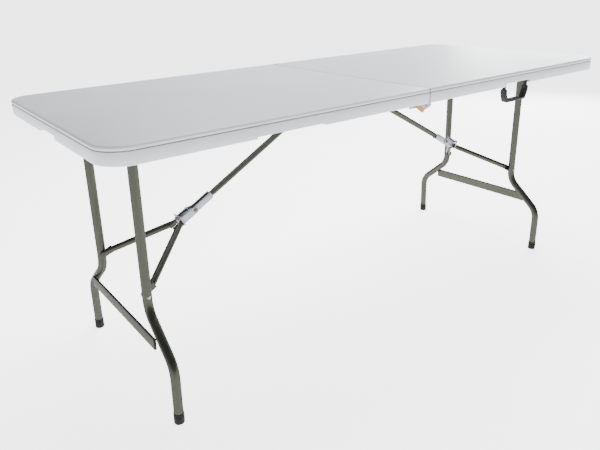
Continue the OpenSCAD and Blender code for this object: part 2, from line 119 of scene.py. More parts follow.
def pick(obj, kind, test):
    """Select just the faces or edges whose middle and normal or direction pass a test."""
    bpy.ops.mesh.select_all(action="DESELECT")
    out_of_edit()
    mesh = obj.data
    if kind == "FACE":
        for face in mesh.polygons:
            face.select = bool(test(face.center, face.normal))
    else:
        for edge in mesh.edges:
            a, b = (mesh.vertices[i].co for i in edge.vertices)
            edge.select = bool(test((a + b) / 2, b - a))
    bpy.ops.object.mode_set(mode="EDIT")


def settle(obj, place=None, angle=35):
    """Put an object's place into its mesh, merge doubles, turn faces out and smooth it."""
    only(obj)
    if place is not None:
        obj.matrix_world = place @ obj.matrix_world
    bpy.ops.object.transform_apply(location=True, rotation=True, scale=True)
    into_edit(obj, "VERT")
    bpy.ops.mesh.select_all(action="SELECT")
    bpy.ops.mesh.remove_doubles(threshold=1e-6)
    bpy.ops.mesh.normals_make_consistent(inside=False)
    out_of_edit()
    bpy.ops.object.shade_smooth_by_angle(angle=math.radians(angle))
    return obj


def modify(obj, kind, **settings):
    only(obj)
    modifier = obj.modifiers.new(kind.title(), kind)
    for key, value in settings.items():
        setattr(modifier, key, value)
    bpy.ops.object.modifier_apply(modifier=modifier.name)


def round_edges(obj, width, segments=3, angle=40):
    modify(
        obj, "BEVEL", width=width, segments=segments, limit_method="ANGLE",
        angle_limit=math.radians(angle), harden_normals=False,
    )


def cut(obj, cutter):
    modify(obj, "BOOLEAN", operation="DIFFERENCE", solver="EXACT", object=cutter)
    bpy.data.objects.remove(cutter)


def join(objs, name):
    deselect()
    for obj in objs:
        obj.select_set(True)
    bpy.context.view_layer.objects.active = objs[0]
    bpy.ops.object.join()
    return named(name)


def block(name, low, high):
    """A box between two corners."""
    low, high = Vector(low), Vector(high)
    deselect()
    bpy.ops.mesh.primitive_cube_add(size=1, location=(low + high) / 2)
    obj = named(name)
    obj.scale = high - low
    bpy.ops.object.transform_apply(location=True, rotation=True, scale=True)
    return obj


def rod(name, start, end, radius, sides=32, far_radius=None):
    """A round bar, or a cone, from one point to another."""
    start, end = Vector(start), Vector(end)
    run = end - start
    deselect()
    bpy.ops.mesh.primitive_cone_add(
        vertices=sides, radius1=radius, radius2=radius if far_radius is None else far_radius,
        depth=run.length, location=(start + end) / 2, rotation=run.to_track_quat("Z", "Y").to_euler(),
    )
    obj = named(name)
    bpy.ops.object.transform_apply(location=True, rotation=True, scale=True)
    return obj


def ring_start(name, centre, radius, sides=32, rotation=(0, 0, 0)):
    """An open ring of edges, in edit mode, ready to be drawn out into a tube."""
    deselect()
    bpy.ops.mesh.primitive_circle_add(
        vertices=sides, radius=radius, fill_type="NGON", location=centre, rotation=rotation
    )
    obj = named(name)
    bpy.ops.object.transform_apply(location=True, rotation=True, scale=True)
    into_edit(obj, "FACE")
    bpy.ops.mesh.select_all(action="SELECT")
    return obj


def draw_out(offset, squash=None, centre=None):
    """Extrude the selected end, and change its section."""
    bpy.ops.mesh.extrude_region_move(TRANSFORM_OT_translate={"value": tuple(offset)})
    if squash:
        bpy.ops.transform.resize(value=squash, center_override=centre)


def bend(centre, axis, angle, steps):
    """Sweep the selected end round an axis, by the right-hand rule."""
    bpy.ops.mesh.spin(steps=steps, angle=-angle, center=centre, axis=axis)


def plate(name, outline, y0, y1):
    """A flat plate: an outline in X and Z, thick along Y."""
    deselect()
    bpy.ops.mesh.primitive_circle_add(
        vertices=len(outline), radius=1, fill_type="NGON", rotation=(math.pi / 2, 0, 0)
    )
    obj = named(name)
    bpy.ops.object.transform_apply(location=True, rotation=True, scale=True)
    for vertex, (x, z) in zip(obj.data.vertices, outline):
        vertex.co = (x, y0, z)
    into_edit(obj, "FACE")
    bpy.ops.mesh.select_all(action="SELECT")
    draw_out((0, y1 - y0, 0))
    out_of_edit()
    return obj


def arc(centre, radius, start, end, steps):
    """Points on an arc, in degrees, for an outline."""
    points = []
    for i in range(steps + 1):
        angle = math.radians(start + (end - start) * i / steps)
        points.append((centre[0] + radius * math.cos(angle), centre[1] + radius * math.sin(angle)))
    return points


def turned_outline(x, z, angle):
    """A function that turns and moves an outline's points."""
    c, s = math.cos(angle), math.sin(angle)
    return lambda points: [(x + px * c - pz * s, z + px * s + pz * c) for px, pz in points]


def copy_of(obj, name):
    twin = obj.copy()
    twin.data = obj.data.copy()
    bpy.context.scene.collection.objects.link(twin)
    return rename(twin, name)


def mirrored(obj, name, axis):
    """A copy flipped across the middle of the table."""
    twin = copy_of(obj, name)
    scale = Matrix.Diagonal([-1 if i == axis else 1 for i in range(3)] + [1])
    return settle(twin, scale)


def fit(obj, body, material, slot, *replaced):
    """Give a finished piece its material and body, and hide the CAD nodes that it stands for. The slot argument is
    not used.
    """
    obj.data.materials.clear()
    obj.data.materials.append(material)
    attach(obj, body)
    if replaced:
        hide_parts(*replaced)
    return obj


def brace_place(sign):
    """From a brace's own frame (origin at the knee, X towards the seam) to the table's."""
    place = Matrix.Translation((-knee.x, 0, knee.z)) @ Matrix.Rotation(-brace_slope, 4, "Y")
    return Matrix.Diagonal((-1, 1, 1, 1)) @ place if sign > 0 else place


def leaned(sign):
    """From an upright left leg frame to its open lean, on either end."""
    pivot = Vector((-leg_pivot.x, 0, leg_pivot.z))
    place = Matrix.Translation(pivot) @ Matrix.Rotation(leg_lean, 4, "Y") @ Matrix.Translation(-pivot)
    return Matrix.Diagonal((-1, 1, 1, 1)) @ place if sign > 0 else place


# ---------- materials ----------


class Value:
    """A shader socket that takes part in arithmetic."""

    def __init__(self, tree, socket):
        self.tree = tree
        self.socket = socket

    def math(self, operation, *others, clamp=False):
        node = self.tree.nodes.new("ShaderNodeMath")
        node.operation = operation
        node.use_clamp = clamp
        for i, item in enumerate((self, *others)):
            put(self.tree, node.inputs[i], item)
        return Value(self.tree, node.outputs[0])

    def __add__(self, other):
        return self.math("ADD", other)

    def __radd__(self, other):
        return self.math("ADD", other)

    def __mul__(self, other):
        return self.math("MULTIPLY", other)

    def __rmul__(self, other):
        return self.math("MULTIPLY", other)

    def __sub__(self, other):
        return self.math("SUBTRACT", other)

    def __rsub__(self, other):
        return self.math("MULTIPLY", -1.0).math("ADD", other)

    def over(self, low, high):
        """0 below low, 1 above high."""
        return ((self - low) * (1 / (high - low))).math("ADD", 0.0, clamp=True)


def put(tree, socket, item):
    if isinstance(item, Value):
        tree.links.new(item.socket, socket)
    else:
        socket.default_value = item


class Finish:
    """One material and the nodes that shape it."""

    def __init__(self, name):
        self.material = bpy.data.materials.new(name)
        self.material.use_nodes = True
        self.tree = self.material.node_tree
        self.shader = self.tree.nodes["Principled BSDF"]
        self.place = self.node("TexCoord", out="Object")

    def node(self, kind, settings=None, out=0, **sockets):
        node = self.tree.nodes.new("ShaderNode" + kind)
        for key, value in (settings or {}).items():
            setattr(node, key, value)
        for key, item in sockets.items():
            put(self.tree, node.inputs[key.replace("_", " ")], item)
        return Value(self.tree, node.outputs[out])

    def noise(self, scale, detail=4.0, roughness=0.55, stretch=None):
        place = self.place
        if stretch:
            place = self.node("Mapping", Vector=place, Scale=stretch)
        return self.node(
            "TexNoise", Vector=place, Scale=scale, Detail=detail, Roughness=roughness
        )

    def cells(self, scale):
        return self.node("TexVoronoi", {"feature": "F1"}, Vector=self.place, Scale=scale)

    def blend(self, factor, first, second):
        node = self.tree.nodes.new("ShaderNodeMix")
        node.data_type = "RGBA"
        put(self.tree, node.inputs["Factor"], factor)
        for key, item in (("A", first), ("B", second)):
            socket = [s for s in node.inputs if s.name == key and s.type == "RGBA"][0]
            put(self.tree, socket, item)
        output = [s for s in node.outputs if s.type == "RGBA"][0]
        return Value(self.tree, output)

    def bump(self, height, distance, strength=1.0):
        return self.node(
            "Bump", out="Normal", Height=height, Distance=distance, Strength=strength
        )

    def wear(self, **sockets):
        for key, item in sockets.items():
            put(self.tree, self.shader.inputs[key.replace("_", " ")], item)
        return self.material


def rgba(colour):
    return (*colour, 1.0)


def moulded_plastic(name, colour, rough):
    """Blow-moulded plastic: a fine pebble, faint cloudiness, a few scuffs, and painted shade along the seam and
    the groove under the rim.
    """
    f = Finish(name)
    pebble = f.cells(900.0) * 0.6 + f.noise(420.0, 3.0) * 0.4
    cloud = f.noise(5.0, 3.0)
    speck = f.noise(160.0, 2.0).over(0.66, 0.72)
    scuff = f.noise(30.0, 6.0, 0.7, (1.0, 9.0, 1.0)).over(0.66, 0.74) * 0.4
    dull = tuple(c * 0.93 for c in colour)
    x = f.node("SeparateXYZ", out="X", Vector=f.place)
    z = f.node("SeparateXYZ", out="Z", Vector=f.place)
    # Painted shade: a thin dark line along the seam at x = 0 and along the groove under the rounded rim, standing
    # in for the shade in these creases.
    seam = 1 - x.math("ABSOLUTE").over(0.0012, 0.0028)
    groove = 1 - (z - (TOP_Z - 0.0102)).math("ABSOLUTE").over(0.0006, 0.0016)
    painted_crease_shade = seam.math("MAXIMUM", groove * 0.8) * (0.75 + cloud * 0.25)
    paint = f.blend(cloud.over(0.35, 0.7), rgba(colour), rgba(dull))
    paint = f.blend(speck * 0.12 + scuff * 0.25, paint, rgba(tuple(c * 0.78 for c in colour)))
    paint = f.blend(painted_crease_shade, paint, rgba(tuple(c * 0.12 for c in colour)))
    return f.wear(
        Base_Color=paint, Roughness=rough + cloud * 0.1 + scuff * 0.12,
        Normal=f.bump(pebble, 0.00022, 0.6), Specular_IOR_Level=0.45,
    )


def gloss_paint(name, colour):
    """Powder coat: glossy, with orange peel, fine scratches and a little dust."""
    f = Finish(name)
    peel = f.noise(700.0, 2.0)
    dust = f.noise(18.0, 6.0, 0.65)
    scratch = f.noise(90.0, 8.0, 0.75, (1.0, 1.0, 14.0)).over(0.67, 0.73)
    pale = tuple(c * 1.35 for c in colour)
    paint = f.blend(dust.over(0.42, 0.75) * 0.35, rgba(colour), rgba(pale))
    paint = f.blend(scratch * 0.3, paint, rgba(tuple(c * 0.6 for c in colour)))
    return f.wear(
        Base_Color=paint, Metallic=0.75, Roughness=0.27 + dust * 0.12 + scratch * 0.15,
        Specular_Tint=(0.3, 0.3, 0.27, 1.0),
        Normal=f.bump(peel, 0.00008, 0.5),
    )


def bright_zinc(name, colour):
    """Zinc plate: mottled, with rolling grain and dark spots."""
    f = Finish(name)
    grain = f.noise(240.0, 6.0, 0.7, (0.15, 1.0, 1.0))
    patch = f.noise(60.0, 4.0)
    spot = f.cells(420.0).over(0.12, 0.05)
    cool = colour[0] * 0.8, colour[1] * 0.82, colour[2] * 0.88
    plate_colour = f.blend(patch, rgba(colour), rgba(cool))
    plate_colour = f.blend(spot * 0.35, plate_colour, rgba(tuple(c * 0.5 for c in colour)))
    return f.wear(
        Base_Color=plate_colour, Metallic=0.9, Roughness=0.26 + grain * 0.18 + patch * 0.06,
        Normal=f.bump(grain, 0.00006, 0.5),
    )


def soft_black(name, colour, rough, scale):
    """Black rubber or plastic with a fine texture and dusty patches."""
    f = Finish(name)
    texture = f.noise(scale, 4.0)
    dust = f.noise(35.0, 6.0, 0.7)
    pale = tuple(c * 1.8 + 0.004 for c in colour)
    body = f.blend(dust.over(0.5, 0.8) * 0.5, rgba(colour), rgba(pale))
    return f.wear(
        Base_Color=body, Roughness=rough + dust * 0.15, Normal=f.bump(texture, 0.0002, 0.5),
        Specular_IOR_Level=0.2,
    )


def dipped_grip(name, colour):
    """Dipped vinyl: glossy, uneven, warmer where it is thin."""
    f = Finish(name)
    drip = f.noise(120.0, 3.0)
    body = f.blend(drip.over(0.4, 0.7), rgba(colour), rgba((colour[0], colour[1] * 0.45, colour[2])))
    return f.wear(
        Base_Color=body, Roughness=0.25 + drip * 0.15, Normal=f.bump(drip, 0.0004, 0.4)
    )


BLACK = (0.005, 0.005, 0.006)
FINISHES = {}


def finish(slot):
    """The material of a slot, made the first time it is asked for."""
    if slot not in FINISHES:
        look = bpy.context.scene.table_look
        makers = {
            "top_plastic": lambda: moulded_plastic("Moulded top", look.top_colour, 0.38),
            "leg_paint": lambda: gloss_paint("Leg powder coat", look.leg_colour),
            "zinc_plate": lambda: bright_zinc("Bright zinc", look.zinc_colour),
            "rivets": lambda: bright_zinc("Rivet zinc", tuple(c * 0.35 for c in look.zinc_colour)),
            "boot_rubber": lambda: soft_black("Boot rubber", (0.004, 0.004, 0.004), 0.6, 300.0),
            "handle_plastic": lambda: soft_black("Handle plastic", BLACK, 0.5, 500.0),
            "latch_grip": lambda: dipped_grip("Dipped grip", look.grip_colour),
            "spring_black": lambda: soft_black("Black oxide", (0.02, 0.02, 0.02), 0.35, 800.0),
        }
        FINISHES[slot] = makers[slot]()
    return FINISHES[slot]


# ---------- settings ----------


class TableLook(bpy.types.PropertyGroup):
    """Colours of the table's finishes."""

    top_colour: bpy.props.FloatVectorProperty(
        name="Top", description="Colour of the moulded top", default=(0.58, 0.61, 0.64),
        subtype="COLOR", size=3, min=0, max=1,
    )
    leg_colour: bpy.props.FloatVectorProperty(
        name="Legs", description="Colour of the leg and brace tubes", default=(0.042, 0.043, 0.035),
        subtype="COLOR", size=3, min=0, max=1,
    )
    zinc_colour: bpy.props.FloatVectorProperty(
        name="Zinc", description="Colour of the plated brackets", default=(0.26, 0.27, 0.29),
        subtype="COLOR", size=3, min=0, max=1,
    )
    grip_colour: bpy.props.FloatVectorProperty(
        name="Grip", description="Colour of the latch grip", default=(0.36, 0.15, 0.0),
        subtype="COLOR", size=3, min=0, max=1,
    )


class TableSizes(bpy.types.PropertyGroup):
    """Sizes of the parts that the frame leaves plain."""

    corner: bpy.props.FloatProperty(
        name="Corner", description="Radius of the top's outer corners", default=0.068, unit="LENGTH"
    )
    skirt_wall: bpy.props.FloatProperty(
        name="Skirt", description="Width of the skirt from below", default=0.022, unit="LENGTH"
    )
    shoulder: bpy.props.FloatProperty(
        name="Shoulder", description="Radius of the top's rounded edge", default=0.006, unit="LENGTH"
    )
    dimple: bpy.props.FloatProperty(
        name="Dimple", description="Radius of a kiss-off dimple under the top", default=0.011, unit="LENGTH"
    )
    leg_radius: bpy.props.FloatProperty(
        name="Leg tube", description="Radius of the leg tubes", default=0.0125, unit="LENGTH"
    )
    brace_radius: bpy.props.FloatProperty(
        name="Brace tube", description="Radius of the brace tubes", default=0.009, unit="LENGTH"
    )
    bend_radius: bpy.props.FloatProperty(
        name="Bend", description="Radius of the legs' S-bend", default=0.070, unit="LENGTH"
    )


# ---------- the top ----------


class TABLE_OT_top(bpy.types.Operator):
    """Mould both halves of the top"""

    bl_idname = "table.top"
    bl_label = "Top halves"

    groove_depth = 2.5 * MM
    groove_drop = 9.5 * MM
    lip = 2.5 * MM
    slab = 19 * MM
    seam_gap = 0.4 * MM
    seam_round = 2.2 * MM
    dimple_rows = 9, 7
    dimple_first = 85 * MM
    dimple_pitch = 92.5 * MM, 87 * MM
    dimple_depth = 9 * MM

    def profile(self, sizes):
        """Steps of (inset, height) from the skirt's bottom lip up to the flat top."""
        steps = [(self.lip, SKIRT_Z)]
        for i in range(1, 5):
            a = math.radians(90 * i / 4)
            steps.append((self.lip * (1 - math.sin(a)), SKIRT_Z + self.lip * (1 - math.cos(a))))
        groove = TOP_Z - self.groove_drop
        steps += [
            (0.0, groove - 0.0035), (0.0006, groove - 0.0022),
            (self.groove_depth, groove - 0.0014), (self.groove_depth, groove),
            (0.0009, groove + 0.0006), (0.0002, groove + 0.0016),
        ]
        r = sizes.shoulder
        for i in range(8):
            a = math.radians(90 * i / 7)
            steps.append((0.0002 + r * (1 - math.cos(a)), TOP_Z - r + r * math.sin(a)))
        return steps

    def shell(self, sizes):
        """The right half, solid, cut straight at the seam."""
        over = 0.06
        deselect()
        bpy.ops.mesh.primitive_plane_add(size=1, location=((HALF_L - over) / 2, 0, SKIRT_Z))
        obj = named("Right top")
        obj.scale = (HALF_L + over, 2 * HALF_W, 1)
        bpy.ops.object.transform_apply(location=True, rotation=True, scale=True)
        into_edit(obj, "VERT")
        bpy.ops.mesh.select_all(action="DESELECT")
        out_of_edit()
        for vertex in obj.data.vertices:
            vertex.select = vertex.co.x > 0
        bpy.ops.object.mode_set(mode="EDIT")
        bpy.ops.mesh.bevel(offset=sizes.corner, segments=20, affect="VERTICES")
        bpy.ops.mesh.select_mode(type="FACE")
        bpy.ops.mesh.select_all(action="SELECT")
        steps = self.profile(sizes)
        self.offset_ring(obj, sizes, SKIRT_Z, steps[0][0])
        for (inset0, z0), (inset1, z1) in zip(steps, steps[1:]):
            bpy.ops.mesh.extrude_region_move(TRANSFORM_OT_translate={"value": (0, 0, z1 - z0)})
            self.offset_ring(obj, sizes, z1, inset1)
        return obj

    def offset_ring(self, obj, sizes, z, inset):
        """Set the plan outline of the selected top face to its inset from the edge."""
        out_of_edit()
        corner = Vector((HALF_L - sizes.corner, HALF_W - sizes.corner))
        radius = sizes.corner - inset
        for vertex in obj.data.vertices:
            if not vertex.select:
                continue
            x, y = vertex.co.x, vertex.co.y
            side = 1 if y > 0 else -1
            if x > corner.x - 1e-5 and abs(y) > corner.y - 1e-5:
                out = Vector((x - corner.x, abs(y) - corner.y))
                out = out.normalized() * radius if out.length > 1e-6 else Vector((0, radius))
                vertex.co.x = corner.x + out.x
                vertex.co.y = side * (corner.y + out.y)
            else:
                vertex.co.y = side * (HALF_W - inset)
        bpy.ops.object.mode_set(mode="EDIT")

    def hollow(self, obj, sizes, under):
        """Press the underside up inside the skirt, to the bottom of the slab."""
        pick(obj, "FACE", lambda c, n: abs(c.z - SKIRT_Z) < 1e-5 and abs(n.z) > 0.9)
        bpy.ops.mesh.inset(thickness=sizes.skirt_wall - self.lip)
        bpy.ops.mesh.extrude_region_move(TRANSFORM_OT_translate={"value": (0, 0, under - SKIRT_Z)})
        out_of_edit()

    def dimples(self, sizes, under):
        """Rows of shallow cones pressed up into the slab."""
        cones = []
        columns, rows = self.dimple_rows
        for i in range(columns):
            for j in range(rows):
                x = self.dimple_first + i * self.dimple_pitch[0]
                y = (j - rows // 2) * self.dimple_pitch[1]
                cones.append(rod(
                    "Dimple", (x, y, under - MM), (x, y, under + self.dimple_depth),
                    sizes.dimple, 20, sizes.dimple * 0.45,
                ))
        return join(cones, "Dimples")

    def notch(self, centre, half, height):
        """A rounded block that cuts a recess into the skirt, by its plan centre and half sizes."""
        low = Vector((centre[0] - half[0], centre[1] - half[1], SKIRT_Z - 0.03))
        high = Vector((centre[0] + half[0], centre[1] + half[1], SKIRT_Z + height))
        obj = block("Notch", low, high)
        round_edges(obj, 0.0015, 4)
        return obj

    def execute(self, context):
        sizes = context.scene.table_sizes
        under = TOP_Z - self.slab
        right = self.shell(sizes)
        self.hollow(right, sizes, under)
        into_edit(right, "VERT")
        bpy.ops.mesh.select_all(action="SELECT")
        bpy.ops.mesh.bisect(
            plane_co=(self.seam_gap, 0, 0), plane_no=(-1, 0, 0), clear_outer=True, use_fill=True
        )
        out_of_edit()
        into_edit(right, "EDGE")
        pick(right, "EDGE", lambda c, d: c.x < self.seam_gap + 0.1 * MM and (
            c.z > TOP_Z - 7 * MM or abs(c.y) > HALF_W - 3 * MM
        ))
        bpy.ops.mesh.bevel(
            offset=self.seam_round, segments=3, affect="EDGES", clamp_overlap=True
        )
        out_of_edit()
        settle(right)
        cut(right, self.notch((HALF_L, 0), (0.0225, 0.0645), 0.0115))
        cut(right, self.dimples(sizes, under))
        left = mirrored(right, "Left top", 0)
        # Room above the latch's hook, so that it clears the slab as the top folds
        cut(left, block(
            "Pocket", (-0.0448, -0.3528, under - MM), (0.01, -0.3467, under + 0.0136)
        ))
        cut(left, self.notch((-0.462, -HALF_W), (0.0975, 0.0225), 0.0052))
        cut(right, self.notch((handle_pivot.x, -HALF_W), (0.0638, 0.0225), 0.0098))
        for obj, side in ((left, "left"), (right, "right")):
            settle(obj, None, 32)
            fit(obj, side + "_half", finish("top_plastic"), "top_plastic", side + "_panel")
        return {"FINISHED"}


# ---------- leg frames ----------


class TABLE_OT_legs(bpy.types.Operator):
    """Bend the leg tubes and fit the crossbars, boots and rivets"""

    bl_idname = "table.legs"
    bl_label = "Leg frames"

    upper_y = 0.161
    lower_y = 0.287
    bend_top = 0.300
    bend_angle = math.radians(50)

    def tube(self, sizes):
        """The left frame's back tube, upright, from the top tube to the floor."""
        r = sizes.bend_radius
        a = self.bend_angle
        x = -leg_pivot.x
        side_run = (self.lower_y - self.upper_y - 2 * r * (1 - math.cos(a))) / math.sin(a)
        drop = 2 * r * math.sin(a) + side_run * math.cos(a)
        obj = ring_start("Leg tube", (x, self.upper_y, leg_pivot.z - 0.004), sizes.leg_radius, 40)
        draw_out((0, 0, self.bend_top - leg_pivot.z + 0.004))
        bend((x, self.upper_y + r, self.bend_top), (1, 0, 0), a, 14)
        draw_out((0, side_run * math.sin(a), -side_run * math.cos(a)))
        bend((x, self.lower_y - r, self.bend_top - drop), (-1, 0, 0), a, 14)
        draw_out((0, 0, 0.006 - self.bend_top + drop))
        out_of_edit()
        return settle(obj)

    def boot(self, sizes):
        """A turned rubber boot with a rolled top rim and a chamfered foot."""
        x = -leg_pivot.x
        r = sizes.leg_radius
        height = 0.0298
        steps = [
            (r + 0.0004, -0.001), (r + 0.0014, 0.0015), (r + 0.0014, 0.022), (r + 0.0006, 0.0235),
            (r + 0.0006, 0.0255), (r + 0.0014, 0.0265), (r + 0.0014, height - 0.001),
            (r + 0.0008, height), (r + 0.0001, height),
        ]
        obj = ring_start("Boot", (x, self.lower_y, steps[0][1]), steps[0][0], 48)
        for (r0, z0), (r1, z1) in zip(steps, steps[1:]):
            draw_out((0, 0, z1 - z0), (r1 / r0, r1 / r0, 1), (x, self.lower_y, z1))
        out_of_edit()
        return obj

    def execute(self, context):
        sizes = context.scene.table_sizes
        tube = self.tube(sizes)
        boot = self.boot(sizes)
        for side, sign in SIDES:
            place = leaned(sign)
            body = side + "_leg_frame"
            for row, flip in (("back", 1), ("front", -1)):
                flat = Matrix.Diagonal((1, flip, 1, 1))
                piece = settle(copy_of(tube, f"{side.title()} {row} leg tube"), place @ flat)
                fit(piece, body, finish("leg_paint"), "leg_paint", f"{side}_leg_{row}_tube")
                piece = copy_of(boot, f"{side.title()} {row} boot")
                settle(piece, place @ flat)
                self.level(piece)
                fit(piece, body, finish("boot_rubber"), "boot_rubber", f"{side}_leg_{row}_boot")
        bpy.data.objects.remove(tube)
        bpy.data.objects.remove(boot)
        self.top_tubes(sizes)
        self.crossbars(sizes)
        self.rivets()
        return {"FINISHED"}

    def level(self, obj):
        """Cut the leaning boot flat on the floor."""
        into_edit(obj, "VERT")
        bpy.ops.mesh.select_all(action="SELECT")
        bpy.ops.mesh.bisect(plane_co=(0, 0, 0), plane_no=(0, 0, 1), clear_inner=True, use_fill=True)
        out_of_edit()
        settle(obj)

    def top_tubes(self, sizes):
        """The tube across the top of each pair of legs, stepped down to its pivots."""
        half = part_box("left_leg_top_tube")[1].y
        steps = [
            (-half, 0.0058), (-half + 0.0005, 0.006), (-half + 0.005, 0.006),
            (-half + 0.0052, sizes.leg_radius),
        ]
        steps += [(-y, r) for y, r in reversed(steps)]
        z = leg_pivot.z
        for side, sign in SIDES:
            x = sign * leg_pivot.x
            obj = ring_start("Top tube", (x, steps[0][0], z), steps[0][1], 40, (math.pi / 2, 0, 0))
            for (y0, r0), (y1, r1) in zip(steps, steps[1:]):
                draw_out((0, y1 - y0, 0), (r1 / r0, 1, r1 / r0), (x, y1, z))
            out_of_edit()
            rename(obj, side + " leg cross tube")
            settle(obj)
            fit(obj, side + "_leg_frame", finish("leg_paint"), "leg_paint", side + "_leg_top_tube")

    def crossbars(self, sizes):
        """A tube pressed flat, its edges round and its ends crimped, across each pair of legs."""
        thick, depth, half, height = 0.007, 0.034, 0.218, 0.200
        crimp = 0.0012
        out = sizes.leg_radius + thick / 2 - MM
        for side, sign in SIDES:
            bar = block(
                side + " crossbar", (-out - thick / 2, -half, height - depth / 2),
                (-out + thick / 2, half, height + depth / 2),
            )
            into_edit(bar, "EDGE")
            pick(bar, "EDGE", lambda c, d: abs(d.y) > half)
            bpy.ops.mesh.bevel(offset=thick * 0.49, segments=6, affect="EDGES")
            bpy.ops.mesh.select_mode(type="FACE")
            pick(bar, "FACE", lambda c, n: abs(n.y) > 0.9)
            bpy.ops.mesh.inset(thickness=0.0008)
            out_of_edit()
            for vertex in bar.data.vertices:
                if abs(vertex.co.y) > half - 1e-5 and abs(vertex.co.x + out) < thick / 2 - 0.0006:
                    vertex.co.y -= math.copysign(crimp, vertex.co.y)
            settle(bar, leaned(sign) @ Matrix.Translation((-leg_pivot.x, 0, 0)))
            fit(bar, side + "_leg_frame", finish("leg_paint"), "leg_paint", side + "_leg_crossbar")

    def rivets(self):
        """Domed rivet heads on the outer side of each leg, level with the fork."""
        for side, sign in SIDES:
            low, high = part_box(side + "_leg_rivets")
            middle = (low + high) / 2
            for row, flip in (("back", 1), ("front", -1)):
                root = (middle.x, flip * (high.y - 0.0026) - flip * 0.004, middle.z)
                tip = (middle.x, flip * high.y, middle.z)
                obj = rod(f"{side} {row} leg rivet", root, tip, 0.0064, 32, 0.0035)
                round_edges(obj, 0.0006, 3)
                settle(obj)
                fit(obj, side + "_leg_frame", finish("zinc_plate"), "zinc_plate", side + "_leg_rivets")


# ---------- braces ----------


